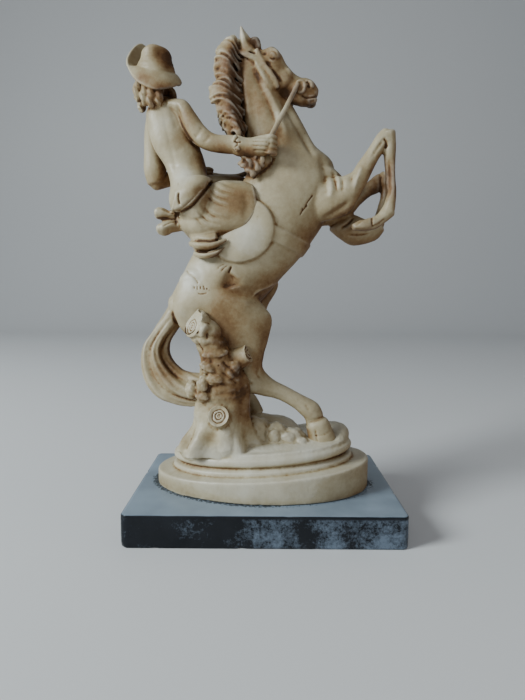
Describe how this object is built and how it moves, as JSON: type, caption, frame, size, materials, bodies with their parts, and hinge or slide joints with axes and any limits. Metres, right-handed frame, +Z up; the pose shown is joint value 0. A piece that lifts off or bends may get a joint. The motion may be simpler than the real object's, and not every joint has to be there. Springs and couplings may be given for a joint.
{
  "type": "equestrian statuette",
  "caption": "Cast statuette of a rider in a long skirt and brimmed hat, side-saddle on a rearing horse propped by a tree stump, on an oval plinth and a dark marble slab.",
  "frame": {"origin": "centre of the marble slab's underside", "axes": "+X the way the horse faces, along the slab's length; +Y the rider's left, the far side from the stump; +Z up"},
  "size_m": [0.152, 0.1, 0.2762],
  "materials": {
    "marble": "dark blue-grey marble, honed and worn, with a thin haze of scuffs and faint pale veins",
    "casting": "cream casting resin with a low sheen and a thin brown patina left in the hollows"
  },
  "bodies": {
    "root": {"marble_slab": "marble", "horse_and_rider": "casting"}
  },
  "joints": []
}
